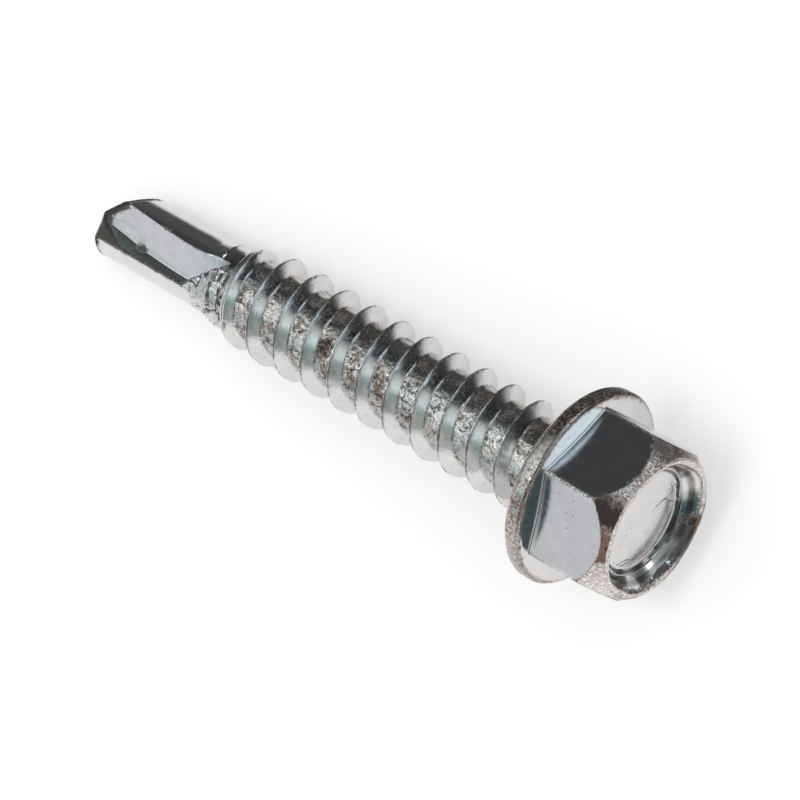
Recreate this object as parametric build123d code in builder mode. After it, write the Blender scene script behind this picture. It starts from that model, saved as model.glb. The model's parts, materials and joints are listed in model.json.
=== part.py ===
"""Self drilling screw with an indented hexagon flange head, lying on its side.

The screw is modelled upright in its own frame: its axis is Z, the bearing face under the
flange is Z = 0, the head is above and the drill point below. Directions about the axis are
counted from the line on which thread_phase_height gives a crest. At the end the solid is
laid down on its flange rim and the corners of one flute, as it comes to rest on a table.
Units are millimetres and degrees.
"""

import os
from math import asin, atan, cos, degrees, radians, sin, tan

from build123d import *

# ---- Driving dimensions -------------------------------------------------------------------

# Thread, size ST5.5
major_diameter = 5.42
root_diameter = 4.00
pitch = 1.80
flank_angle = 60.0
thread_phase_height = -1.51  # height of a crest in the zero direction
lead_in_length = 2.70  # the crest grows out of the core over this length
run_out_angle = 45.0  # at the head the crest sinks back into the core this steeply
ridge_bury = 0.15  # how deep the swept ridge is rooted in the core

# Neck between the thread and the bearing face
neck_diameter = 4.50
neck_length = 1.00
washer_clearance = 0.04  # the bearing face starts this far outside the thread

# Flange
flange_diameter = 10.27
rim_height = 1.02
rim_bevel = 0.24  # at the rim's lower and upper edge
rim_fillet = 0.40  # between the rim's wall and its upper bevel
flange_rise = 0.15  # the flange climbs this much from its rim to the hexagon

# Hexagon and the ring on top of it
across_flats = 7.90
corner_direction = 33.5  # direction of one corner
corner_fillet = 0.12
head_height = 5.38
ring_diameter = 7.44
forming_angle = 33.0  # of the cone that breaks the corners, from the axis
ring_bevel = 0.08

# Indentation in the head
ring_width = 0.30
ledge_diameter = 5.60
ledge_depth = 0.78
floor_diameter = 5.30
floor_depth = 1.03

# Drill point, with heights counted from the chisel edge
point_length = 31.0  # from the bearing face to the chisel edge
drill_length = 8.30  # from the chisel edge to the start of the thread
drill_diameter = 3.84
point_angle = 120.0
shoulder_length = 0.60  # taper between the drill and the thread's core
heel_reliefs = (  # plane behind each lip: its slope, the slope's direction, its height on the axis
    (1.15, 250.0, 0.10),
    (1.25, 13.0, 0.20),
)

# Flutes: a rake wall that stands nearly radial, and a floor that widens towards the tip
lip_direction = 133.0
rake_offset = 0.116  # distance of the rake wall from the axis
flute_corner_fillet = 0.10
flute_stations = (  # height, corner's distance in drill radii, direction of the floor's edge
    (-0.80, 0.156, 58.0),
    (1.60, 0.354, 60.0),
    (2.80, 0.469, 61.0),
    (4.00, 0.583, 65.5),
    (5.30, 0.651, 67.5),
    (6.50, 0.677, 70.5),
    (11.00, 0.729, 62.0),
)
flute_end_height = 7.93  # where the plane of the groove's end crosses the axis
flute_end_slopes = (1.07, 0.20)

# Lying position
resting_direction = 274.0  # the side that faces the table, the middle of a flute

# ---- Derived dimensions -------------------------------------------------------------------

major_radius = major_diameter / 2
root_radius = root_diameter / 2
neck_radius = neck_diameter / 2
flange_radius = flange_diameter / 2
drill_radius = drill_diameter / 2
flat_radius = across_flats / 2
corner_radius = flat_radius / cos(radians(30))
clear_radius = 2 * flange_radius  # outside everything, for bodies that cut
joint_height = rim_height / 2  # inside the flange, where core and hexagon meet

thread_height = major_radius - root_radius
lead_in_start = drill_length - point_length
full_thread_start = lead_in_start + lead_in_length
lead_in_slope = thread_height / lead_in_length
run_out_slope = tan(radians(run_out_angle))
run_out_start = -neck_length - thread_height / run_out_slope
half_ridge = (thread_height + ridge_bury) * tan(radians(flank_angle / 2))
turns_below = int((thread_phase_height - lead_in_start) / pitch) + 1
helix_bottom = thread_phase_height - turns_below * pitch
helix_length = -helix_bottom - neck_length / 2
neck_step = (neck_radius - root_radius) / run_out_slope
neck_flare = major_radius + washer_clearance - neck_radius

# the cones that trim the ridge run this far past the core and past the crest
trim_margin = 2 * ridge_bury
trim_inner = root_radius - trim_margin
trim_outer = major_radius + trim_margin
trim_lead_in = trim_margin / lead_in_slope
trim_run_out = trim_margin / run_out_slope

ring_radius = ring_diameter / 2
ring_inner_radius = ring_radius - ring_width
broken_corner_height = head_height - (corner_radius - ring_radius) / tan(radians(forming_angle))

tip_edge_height = -point_length + drill_radius / tan(radians(point_angle / 2))
rake_direction = lip_direction + degrees(asin(rake_offset / drill_radius))


def polar(radius, direction):
    """A point in a plane across the axis."""
    return radius * cos(radians(direction)), radius * sin(radians(direction))


# ---- Thread -------------------------------------------------------------------------------

with BuildPart() as ridge:
    with BuildLine() as crest_path:
        Helix(pitch=pitch, height=helix_length, radius=root_radius, center=(0, 0, helix_bottom))
    with BuildSketch(Plane((0, 0, helix_bottom), x_dir=(1, 0, 0), z_dir=(0, -1, 0))):
        with BuildLine():
            Polyline(
                (root_radius - ridge_bury, -half_ridge),
                (major_radius, 0),
                (root_radius - ridge_bury, half_ridge),
                close=True,
            )
        make_face()
    sweep(path=crest_path.line, is_frenet=True)
    # two cones trim its ends, so that the crest grows out of the core and sinks back into it
    with BuildSketch(Plane.XZ):
        with BuildLine():
            Polyline(
                (trim_inner, lead_in_start - trim_lead_in),
                (trim_outer, full_thread_start + trim_lead_in),
                (trim_outer, run_out_start - trim_run_out),
                (trim_inner, -neck_length + trim_run_out),
                close=True,
            )
        make_face()
    revolve(axis=Axis.Z, mode=Mode.INTERSECT)

# ---- Flute --------------------------------------------------------------------------------

rake_foot = Vector(*polar(rake_offset, rake_direction - 90))
along_rake = Vector(*polar(1, rake_direction))

with BuildPart() as flute:
    for height_above_tip, corner_share, edge_direction in flute_stations:
        corner = rake_foot + along_rake * corner_share * drill_radius
        across_floor = (Vector(*polar(drill_radius, edge_direction)) - corner).normalized()
        with BuildSketch(Plane.XY.offset(height_above_tip - point_length)) as section:
            with BuildLine():
                Polyline(
                    corner,
                    corner + across_floor * clear_radius,
                    corner + along_rake * clear_radius,
                    close=True,
                )
            make_face()
            groove = section.vertices().sort_by_distance(corner)[0]
            fillet(groove, radius=flute_corner_fillet)
    loft(ruled=True)
    # the plane in which both flutes end
    rise_x, rise_y = flute_end_slopes
    split(
        bisect_by=Plane((0, 0, flute_end_height - point_length), z_dir=(-rise_x, -rise_y, 1)),
        keep=Keep.BOTTOM,
    )

# ---- Screw --------------------------------------------------------------------------------

with BuildPart() as screw:
    # hexagon
    with BuildSketch(Plane.XY.offset(joint_height)) as hexagon:
        RegularPolygon(flat_radius, 6, major_radius=False, rotation=corner_direction)
        fillet(hexagon.vertices(), radius=corner_fillet)
    extrude(amount=head_height)
    # its top as the forming punch leaves it: broken corners, a rounded ring, an indentation
    with BuildSketch(Plane.XZ) as punch:
        with BuildLine():
            Polyline(
                (0, 0),
                (corner_radius, 0),
                (corner_radius, broken_corner_height),
                (ring_radius, head_height),
                (ring_inner_radius, head_height),
                (ledge_diameter / 2, head_height - ledge_depth),
                (floor_diameter / 2, head_height - floor_depth),
                (0, head_height - floor_depth),
                close=True,
            )
        make_face()
        chamfer(punch.vertices().group_by(Axis.Y)[-1], length=ring_bevel)
    revolve(axis=Axis.Z, mode=Mode.INTERSECT)

    # flange
    with BuildSketch(Plane.XZ) as flange:
        with BuildLine():
            Polyline(
                (0, 0),
                (flange_radius - rim_bevel, 0),
                (flange_radius, rim_bevel),
                (flange_radius, rim_height - rim_bevel),
                (flange_radius - rim_bevel, rim_height),
                (flat_radius, rim_height + flange_rise),
                (0, rim_height + flange_rise),
                close=True,
            )
        make_face()
        rim_corners = flange.vertices().group_by(Axis.X)[-1]
        fillet(rim_corners.sort_by(Axis.Y)[-1], radius=rim_fillet)
    revolve(axis=Axis.Z)

    # core, with the neck flared into the bearing face and the point as a cone
    with BuildSketch(Plane.XZ):
        with BuildLine():
            Polyline(
                (0, joint_height),
                (0, -point_length),
                (drill_radius, tip_edge_height),
                (drill_radius, lead_in_start - shoulder_length),
                (root_radius, lead_in_start),
                (root_radius, -neck_length - neck_step),
                (neck_radius, -neck_length),
                (neck_radius, -neck_flare),
                (neck_radius + neck_flare, 0),
                (neck_radius + neck_flare, joint_height),
                close=True,
            )
        make_face()
    revolve(axis=Axis.Z)
    add(ridge.part)

    # drill point: two flutes, then the relief of each land's heel
    add(flute.part, mode=Mode.SUBTRACT)
    add(flute.part, rotation=(0, 0, 180), mode=Mode.SUBTRACT)
    for slope, direction, height_above_tip in heel_reliefs:
        uphill = Vector(*polar(slope, direction))
        relief = Plane((0, 0, height_above_tip - point_length), z_dir=Vector(0, 0, 1) - uphill)
        split(bisect_by=relief, keep=Keep.TOP)

# ---- Lying position -----------------------------------------------------------------------

# One flute faces the table, which touches the lower edge of the rim's wall and the outer
# corners of the flute. The axis leans over until the first of these corners touches.
facing_table = Vector(*polar(1, resting_direction))
drill_corners = [Vector(vertex) for vertex in screw.vertices() if vertex.Z < lead_in_start]
leanings = [
    (flange_radius - corner.dot(facing_table)) / (rim_bevel - corner.Z) for corner in drill_corners
]
tilt = degrees(atan(min(leanings)))

screw_axis = Vector(cos(radians(tilt)), 0, sin(radians(tilt)))
down = Vector(sin(radians(tilt)), 0, -cos(radians(tilt)))
side = screw_axis.cross(down)
zero_direction = down * cos(radians(resting_direction)) - side * sin(radians(resting_direction))
tilted = screw.part.moved(Location(Plane((0, 0, 0), x_dir=zero_direction, z_dir=screw_axis)))
box = tilted.bounding_box()
lying = tilted.moved(Location((-box.center().X, -box.center().Y, -box.min.Z)))
lying.label = "screw"

os.makedirs("parts", exist_ok=True)
export_step(lying, "parts/screw.step")
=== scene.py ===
"""Self drilling screw with a flanged, indented hexagon head: its zinc plated skin, rubbed,
dented and stained, and the studio around it. The skin is worked out upright, in millimetres,
and laid down where the part's record says. Directions about the axis are in degrees, and heights
are counted from the bearing face under the flange, so those of the shank are negative.
"""

import json
import math
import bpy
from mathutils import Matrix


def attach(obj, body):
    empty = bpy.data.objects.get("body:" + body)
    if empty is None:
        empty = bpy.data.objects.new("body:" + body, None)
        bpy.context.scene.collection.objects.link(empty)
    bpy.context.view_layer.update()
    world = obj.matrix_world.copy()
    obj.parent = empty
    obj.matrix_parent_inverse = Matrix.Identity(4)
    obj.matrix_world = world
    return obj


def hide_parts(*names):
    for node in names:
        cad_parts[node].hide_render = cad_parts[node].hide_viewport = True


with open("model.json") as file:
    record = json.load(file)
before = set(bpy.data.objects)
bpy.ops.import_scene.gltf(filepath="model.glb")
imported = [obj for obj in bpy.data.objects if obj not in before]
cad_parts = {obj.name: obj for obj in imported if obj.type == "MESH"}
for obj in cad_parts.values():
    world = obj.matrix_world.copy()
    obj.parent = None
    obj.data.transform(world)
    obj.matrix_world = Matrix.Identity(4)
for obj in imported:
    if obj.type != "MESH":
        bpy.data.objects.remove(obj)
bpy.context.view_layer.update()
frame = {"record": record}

from types import SimpleNamespace

import bmesh
import bpy
import numpy as np
from bpy.props import FloatProperty, FloatVectorProperty, PointerProperty
from mathutils import Matrix, Vector

bl_info = {
    "name": "Drilling Screw",
    "version": (1, 0, 0),
    "blender": (4, 5, 0),
    "location": "3D View > Sidebar > Screw",
    "description": "Builds the plated skin of a self drilling screw and a plain studio around it",
    "category": "Add Mesh",
}

MM = 0.001
FULL_TURN = 360.0
HALF_TURN = 180.0


# ---- Settings -----------------------------------------------------------------------------

def length(name, description, millimetres):
    return FloatProperty(
        name=name, description=description, default=millimetres * MM, unit="LENGTH", precision=5
    )


def angle(name, description, degrees):
    return FloatProperty(
        name=name, description=description, default=math.radians(degrees), unit="ROTATION"
    )


def share(name, description, value):
    return FloatProperty(
        name=name, description=description, default=value, min=0.0, max=1.0, subtype="FACTOR"
    )


def colour(name, description, value):
    return FloatVectorProperty(
        name=name, description=description, default=value, size=3, min=0.0, max=1.0, subtype="COLOR"
    )


class SCREW_PG_thread(bpy.types.PropertyGroup):
    """Sizes of the thread, its core and the neck"""

    major_radius: length("Thread radius", "Outside radius of the thread", 2.71)
    root_radius: length("Core radius", "Radius at the foot of the thread", 2.00)
    pitch: length("Pitch", "Advance in one turn", 1.80)
    flank_angle: angle("Flank angle", "Angle between the two flanks", 60.0)
    crest_height: length("Crest height", "Height of a crest in the zero direction", -1.51)
    crest_half_width: length("Crest half width", "Half the width of the crest's flat", 0.035)
    foot_blend: length("Foot", "How far the flanks are rounded into the core", 0.045)
    lead_in_start: length("Lead-in start", "Height at which the thread starts to grow", -22.70)
    lead_in_length: length("Lead-in", "Length over which the thread grows", 2.70)
    neck_radius: length("Neck radius", "Radius between thread and flange", 2.25)
    neck_length: length("Neck length", "Distance from thread to flange", 1.00)
    neck_clearance: length(
        "Neck clearance", "The neck's flare ends this far outside the thread", 0.04
    )


class SCREW_PG_head(bpy.types.PropertyGroup):
    """Sizes of the flange, the hexagon and the indentation"""

    flange_radius: length("Flange radius", "Outside radius of the flange", 5.123)
    rim_height: length("Rim height", "Thickness of the flange at its rim", 1.02)
    rim_bevel: length("Rim bevel", "Size of the broken edges of the rim", 0.24)
    flange_rise: length("Flange rise", "The flange climbs this much to the hexagon", 0.15)
    flat_radius: length("Half width", "Half the width across the flats", 3.945)
    corner_direction: angle("Corner direction", "Direction of one corner", 33.5)
    corner_fillet: length("Corner rounding", "Radius of the hexagon's upright edges", 0.20)
    seam: length("Seam", "Fillet between flange and hexagon", 0.05)
    head_height: length("Head height", "Height of the ring above the bearing face", 5.37)
    ring_radius: length("Ring radius", "Radius where the broken corners meet the ring", 3.72)
    forming_angle: angle("Forming angle", "Angle of the broken corners from the axis", 33.0)
    mouth_radius: length("Mouth radius", "Mean radius of the indentation's mouth", 3.38)
    mouth_wave: length("Mouth wave", "The mouth is wider than that towards the corners", 0.06)
    ledge_radius: length("Ledge radius", "Radius of the ledge in the indentation", 2.80)
    ledge_depth: length("Ledge depth", "Depth of the ledge", 0.78)
    floor_radius: length("Floor radius", "Radius of the indentation's floor", 2.65)
    floor_depth: length("Floor depth", "Depth of the indentation", 1.03)


class SCREW_PG_point(bpy.types.PropertyGroup):
    """Sizes of the drill point"""

    point_length: length("Length", "From the bearing face to the chisel edge", 31.0)
    drill_radius: length("Drill radius", "Radius of the drill point's lands", 1.92)
    point_angle: angle("Point angle", "Angle of the ground point", 120.0)
    shoulder_length: length("Shoulder", "Taper between the drill and the core", 0.60)
    lip_direction: angle("Lip direction", "Direction of one cutting edge", 133.0)
    rake_offset: length("Rake offset", "Distance of the flute's rake wall from the axis", 0.116)
    corner_fillet: length("Flute rounding", "Radius between rake wall and flute floor", 0.10)
    end_height: length("Flute end", "Height above the chisel edge where the flutes end", 7.93)


class SCREW_PG_finish(bpy.types.PropertyGroup):
    """Colours and gloss of the plating and of what is on it"""

    zinc: colour("Zinc", "Clean plating", (0.665, 0.660, 0.655))
    dull_zinc: colour("Dull zinc", "Rubbed plating", (0.752, 0.672, 0.645))
    brown: colour("Rust", "Brown stain in the roots and on the edges", (0.135, 0.070, 0.035))
    # this dark layer stands for grime, and also paints shade on one side of the flanks, the roots and
    # the rim
    film: colour("Film", "Thin dark grime over the plating", (0.150, 0.140, 0.128))
    # this black colours dirt in pits and creases, and also painted shade on one side of the roots,
    # flanks and indentation's wall, and a painted shadow line where the flutes end
    soot_and_shade: colour("Soot", "Black dirt in pits and along creases", (0.020, 0.019, 0.019))
    gloss: share("Clean roughness", "Roughness of the clean plating", 0.17)
    worn_gloss: share("Worn roughness", "Roughness of rubbed and pitted plating", 0.24)


class SCREW_PG_studio(bpy.types.PropertyGroup):
    """Light, floor and camera"""

    resting_direction: angle("Resting direction", "Side of the screw that faces the floor", 274.0)
    floor_colour: colour("Floor", "Colour of the floor", (0.90, 0.90, 0.90))
    floor_reach: length("Floor size", "Half the floor's side", 1500.0)
    lens: FloatProperty(name="Lens", description="Focal length", default=299.06, unit="CAMERA")
    key_power: FloatProperty(
        name="Key", description="Power of the lamp", default=0.30, unit="POWER"
    )


def measures(group):
    """A settings group's lengths in millimetres and angles in degrees, as plain numbers."""
    plain = {}
    for name, prop in group.bl_rna.properties.items():
        if name in ("rna_type", "name") or prop.type != "FLOAT" or prop.is_array:
            continue
        value = getattr(group, name)
        if prop.unit == "LENGTH":
            value = round(value / MM, 4)
        elif prop.unit == "ROTATION":
            value = round(math.degrees(value), 3)
        plain[name] = value
    return SimpleNamespace(**plain)


# ---- Small helpers ------------------------------------------------------------------------

def smoothstep(low, high, value):
    """0 below low, 1 above high, smooth between them."""
    part = np.clip((value - low) / (high - low), 0.0, 1.0)
    return part * part * (3.0 - 2.0 * part)


def window(low, high, value, soft):
    """1 between low and high, falling to 0 within soft of them."""
    rising = smoothstep(low - soft, low + soft, value)
    return rising * (1.0 - smoothstep(high - soft, high + soft, value))


def between(first, last, part):
    return first + (last - first) * part


def cosine(direction):
    return np.cos(np.radians(direction))


def sine(direction):
    return np.sin(np.radians(direction))


def polar(radius, direction):
    return np.array([radius * cosine(direction), radius * sine(direction)])


def turn_from(direction, middle):
    """Signed angle from middle to direction, between -180 and 180."""
    return (direction - middle + HALF_TURN) % FULL_TURN - HALF_TURN


# ---- Grain, worked out from a seeded lattice ------------------------------------------------

LATTICE_ORIGIN = 1000.0  # keeps the numbers of all cells positive
CELL_FACTORS = (73856093, 19349663, 83492791)
SEED_FACTOR = 2654435761
MIXING = ((15, 2246822519), (13, 3266489917))  # shift and factor of each round
WORD = 0xFFFFFFFF
HALF_WORD = 0xFFFF
CREASE_SHARPNESS = 3.0


def lattice(cells, seed):
    """A fixed random number from 0 to 1 for each cell, an array that ends in three integers."""
    mixed = np.bitwise_xor.reduce(cells * CELL_FACTORS, -1)
    mixed = (mixed ^ seed * SEED_FACTOR) & WORD
    for shift, factor in MIXING:
        mixed = ((mixed ^ mixed >> shift) * factor) & WORD
    return (mixed >> 8 & HALF_WORD) / HALF_WORD


def grain(points, size, seed):
    """Smooth noise from -1 to 1 whose lumps are about as large as size."""
    scaled = points / size + LATTICE_ORIGIN
    cell = np.floor(scaled).astype(np.int64)
    part = scaled - cell
    part = part * part * (3.0 - 2.0 * part)
    total = np.zeros(points.shape[:-1])
    for corner in range(8):
        step = np.array([corner & 1, corner >> 1 & 1, corner >> 2 & 1])
        weight = np.prod(np.where(step, part, 1.0 - part), -1)
        total += weight * lattice(cell + step, seed)
    return 2.0 * total - 1.0


def layered_grain(points, size, seed, layers=3):
    """Noise with ever finer and weaker layers, from about -1 to 1."""
    total = 0.0
    for layer in range(layers):
        total = total + grain(points, size / 2 ** layer, seed + layer) / 2 ** layer
    return total / (2.0 - 2.0 ** (1 - layers))


def creases(points, size, seed):
    """1 on thin lines between lumps, falling to 0 away from them."""
    return 1.0 - np.minimum(np.abs(grain(points, size, seed)) * CREASE_SHARPNESS, 1.0)


# ---- The shank's outer surface, a radius over direction and height --------------------------

def ridge_distance(thread, direction, height):
    """Signed distance along the axis from the nearest crest of the thread."""
    turns = (height - thread.crest_height) / thread.pitch - direction / FULL_TURN
    return (turns - np.round(turns)) * thread.pitch


def core_radius(thread, point, height):
    """Drill, shoulder, core, neck and the flare into the bearing face."""
    flare = thread.major_radius + thread.neck_clearance - thread.neck_radius
    step = thread.neck_radius - thread.root_radius
    profile = (
        (-point.point_length, point.drill_radius),
        (thread.lead_in_start - point.shoulder_length, point.drill_radius),
        (thread.lead_in_start, thread.root_radius),
        (-thread.neck_length - step, thread.root_radius),
        (-thread.neck_length, thread.neck_radius),
        (-flare, thread.neck_radius),
        (0.0, thread.neck_radius + flare),
    )
    return np.interp(height, *np.transpose(profile))


def ridge_limit(thread, height):
    """How far the thread may stand out here, as it grows at the point and ends at the neck."""
    growth = (thread.major_radius - thread.root_radius) / thread.lead_in_length
    lead_in = thread.root_radius + (height - thread.lead_in_start) * growth
    run_out = thread.root_radius - thread.neck_length - height
    return np.minimum(thread.major_radius, np.minimum(lead_in, run_out))


def shank_radius(thread, point, direction, height):
    """The thread on its core, tapering at both ends."""
    core = core_radius(thread, point, height)
    away = np.abs(ridge_distance(thread, direction, height))
    steepness = math.tan(math.radians(thread.flank_angle / 2))
    flank = thread.major_radius - np.maximum(away - thread.crest_half_width, 0.0) / steepness
    above = np.minimum(flank, ridge_limit(thread, height)) - core
    return core + 0.5 * (above + np.sqrt(above ** 2 + thread.foot_blend ** 2))


# ---- Mesh assembly ------------------------------------------------------------------------

class Skin:
    """Points with their zones, and faces, of one closed mesh put together from rings."""

    def __init__(self):
        self.points = []
        self.zones = []
        self.faces = []
        self.count = 0

    def add(self, points, zones):
        """Adds points, an array that ends in x, y, z, and returns their numbers."""
        points = np.asarray(points, float)
        numbers = np.arange(self.count, self.count + points[..., 0].size).reshape(points.shape[:-1])
        self.points.append(points.reshape(-1, 3))
        self.zones.append(np.broadcast_to(zones, points.shape[:-1]).reshape(-1))
        self.count += numbers.size
        return numbers

    def bridge_rings(self, numbers):
        """Quads between neighbouring closed rings with the same number of points."""
        for lower, upper in zip(numbers[:-1], numbers[1:]):
            quads = np.stack([lower, np.roll(lower, -1), np.roll(upper, -1), upper], 1)
            self.faces.extend(quads.tolist())

    def cap(self, ring, centre):
        self.faces.extend([first, second, centre] for first, second in zip(ring, np.roll(ring, -1)))

    def stitch(self, lower, lower_directions, upper, upper_directions):
        """Triangles between two closed rings whose points stand in different directions."""
        sides = []
        for ring, directions in ((lower, lower_directions), (upper, upper_directions)):
            order = np.argsort(directions % FULL_TURN)
            numbers = ring[order].tolist()
            angles = (directions % FULL_TURN)[order].tolist()
            sides.append((numbers + numbers[:1], angles + [angles[0] + FULL_TURN]))
        (low, low_angles), (high, high_angles) = sides
        low_at = high_at = 0
        while low_at < len(low) - 1 or high_at < len(high) - 1:
            at_end = high_at == len(high) - 1
            step_low = low_at < len(low) - 1 and (
                at_end or low_angles[low_at + 1] <= high_angles[high_at + 1]
            )
            if step_low:
                self.faces.append([low[low_at], low[low_at + 1], high[high_at]])
                low_at += 1
            else:
                self.faces.append([low[low_at], high[high_at + 1], high[high_at]])
                high_at += 1


# zones of the skin, kept with each point
(
    LAND, FLUTE, RAKE, POINT, THREAD, UNDERSIDE, RIM, FLANGE, FACE, CORNER, RING, WALL, LEDGE, FLOOR
) = range(14)


# ---- Thread -------------------------------------------------------------------------------

THREAD_COLUMNS = 144
THREAD_ROWS = (  # distances from the crest, along the axis
    0.02, 0.045, 0.08, 0.13, 0.20, 0.27, 0.34, 0.39, 0.43, 0.48, 0.58, 0.70, 0.83,
)
THREAD_BOTTOM = -21.50  # below this the thread belongs to the drill point's rings
SPARE_TURNS = 3  # of lines beyond both ends, pressed flat there


def add_thread(skin, thread, point):
    """Thread and neck, on lines that follow the helix. Returns the first and the last ring."""
    directions = np.arange(THREAD_COLUMNS) * FULL_TURN / THREAD_COLUMNS
    rows = np.array([-row for row in reversed(THREAD_ROWS)] + list(THREAD_ROWS))
    first_turn = int((THREAD_BOTTOM - thread.crest_height) / thread.pitch) - SPARE_TURNS
    turns = range(first_turn, SPARE_TURNS)
    offsets = np.concatenate([rows + turn * thread.pitch for turn in turns])
    climb = thread.pitch * directions / FULL_TURN
    heights = np.clip(thread.crest_height + offsets[:, None] + climb, THREAD_BOTTOM, 0.0)
    spread = np.broadcast_to(directions, heights.shape)
    radii = shank_radius(thread, point, spread, heights)
    numbers = skin.add(np.stack([*polar(radii, spread), heights], -1), THREAD)
    for column in range(THREAD_COLUMNS):
        here = numbers[:, column]
        beside = numbers[:, (column + 1) % THREAD_COLUMNS]
        if column == THREAD_COLUMNS - 1:
            # a turn further on, the first column goes on where the last one ends
            seam = zip(beside, beside[1:len(rows) + 1])
            skin.faces.extend([here[0], low, high] for low, high in seam)
            beside = np.concatenate([beside[len(rows):], np.full(len(rows), beside[-1])])
        quads = np.stack([here[:-1], beside[:-1], beside[1:], here[1:]], 1)
        skin.faces.extend(quads.tolist())
    return numbers[0], numbers[-1], directions


# ---- Drill point --------------------------------------------------------------------------

HEEL_RELIEFS = ((1.15, 250.0, 0.10), (1.25, 13.0, 0.20))  # slope, its direction, height on the axis
FLUTE_STATIONS = (  # height, corner's distance in drill radii, direction of the floor's edge
    (-0.80, 0.156, 58.0),
    (1.60, 0.354, 60.0),
    (2.80, 0.469, 61.0),
    (4.00, 0.583, 65.5),
    (5.30, 0.651, 67.5),
    (6.50, 0.677, 70.5),
    (11.00, 0.729, 62.0),
)
FLUTE_END_SLOPES = (1.07, 0.20)
STATION_BLEND = 0.9  # a section is the mean of those this far below and above it
STATION_STEPS = 7
LEAST_RISE = 0.05  # where the flutes' end plane rises less than this, it counts as a step
STEP_SOFTNESS = 0.08
END_ROUNDS = 12  # rounds in which outline and ground end are fitted to each other
# points along half an outline, and rings of them from the tip upwards
FLOOR_STEPS = 34
FILLET_STEPS = 8
WALL_STEPS = 20
LAND_STEPS = 58
CAP_RINGS = 14
POINT_RINGS = 16
POINT_TOP = 2.7  # above the chisel edge, where the rings become level
COARSE_STEP = 0.14
FINE_START = 6.8
FINE_STEP = 0.052


def flute_section(point, height):
    """Half of the drill's outline above the chisel edge: floor, rounding, wall and land."""
    heights, shares, edges = np.transpose(FLUTE_STATIONS)
    around = height + np.linspace(-STATION_BLEND, STATION_BLEND, STATION_STEPS)
    corner_share = np.interp(around, heights, shares).mean()
    edge_direction = np.interp(around, heights, edges).mean()
    lean = math.degrees(math.asin(point.rake_offset / point.drill_radius))
    rake_direction = point.lip_direction + lean
    foot = polar(point.rake_offset, rake_direction - 90.0)
    corner = foot + polar(corner_share * point.drill_radius, rake_direction)
    edge = polar(point.drill_radius, edge_direction)
    lip = polar(point.drill_radius, point.lip_direction)
    along_floor = (edge - corner) / np.linalg.norm(edge - corner)
    along_wall = (lip - corner) / np.linalg.norm(lip - corner)
    half_opening = 0.5 * math.acos(float(along_floor @ along_wall))
    reach = point.corner_fillet / math.tan(half_opening)
    bisector = (along_floor + along_wall) / np.linalg.norm(along_floor + along_wall)
    centre = corner + bisector * point.corner_fillet / math.sin(half_opening)
    floor_end = corner + along_floor * reach
    wall_start = corner + along_wall * reach
    start = math.atan2(*(floor_end - centre)[::-1])
    sweep = math.atan2(*(wall_start - centre)[::-1]) - start
    sweep = (sweep + math.pi) % (2.0 * math.pi) - math.pi
    bends = np.linspace(start, start + sweep, FILLET_STEPS, endpoint=False)
    return np.concatenate([
        np.linspace(edge, floor_end, FLOOR_STEPS, endpoint=False),
        centre + point.corner_fillet * np.stack([np.cos(bends), np.sin(bends)], 1),
        np.linspace(wall_start, lip, WALL_STEPS, endpoint=False),
        polar(point.drill_radius, np.linspace(
            point.lip_direction, edge_direction + HALF_TURN, LAND_STEPS, endpoint=False
        )).T,
    ])


def drill_ring(thread, point, height):
    """The drill's whole outline at a height above the chisel edge, closed where the flutes end."""
    half = flute_section(point, height)
    ring = np.concatenate([half, -half])
    radius = np.hypot(ring[:, 0], ring[:, 1])
    direction = np.degrees(np.arctan2(ring[:, 1], ring[:, 0])) % FULL_TURN
    outer = shank_radius(thread, point, direction, height - point.point_length)
    half_turns = np.repeat([0.0, HALF_TURN], len(half))
    own_direction = direction - half_turns
    rise = FLUTE_END_SLOPES[0] * cosine(own_direction) + FLUTE_END_SLOPES[1] * sine(own_direction)
    above = height - point.end_height
    slanted = above / np.maximum(rise, LEAST_RISE)
    step = smoothstep(-STEP_SOFTNESS, STEP_SOFTNESS, above - rise * (radius + outer) / 2)
    stepped = between(radius, outer, step)
    filled = np.where(rise > LEAST_RISE, slanted, stepped)
    filled = np.clip(filled, np.minimum(radius, outer), outer)
    in_flute = np.tile(np.arange(len(half)) < FLOOR_STEPS + FILLET_STEPS + WALL_STEPS, 2)
    new_radius = np.where(in_flute, filled, outer)
    return polar(new_radius, direction).T, direction


def point_end(point, x, y):
    """Height above the chisel edge of the ground point: its cone and its two reliefs."""
    end = np.hypot(x, y) / math.tan(math.radians(point.point_angle / 2))
    for slope, direction, height in HEEL_RELIEFS:
        end = np.maximum(end, height + slope * (x * cosine(direction) + y * sine(direction)))
    return end


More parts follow.
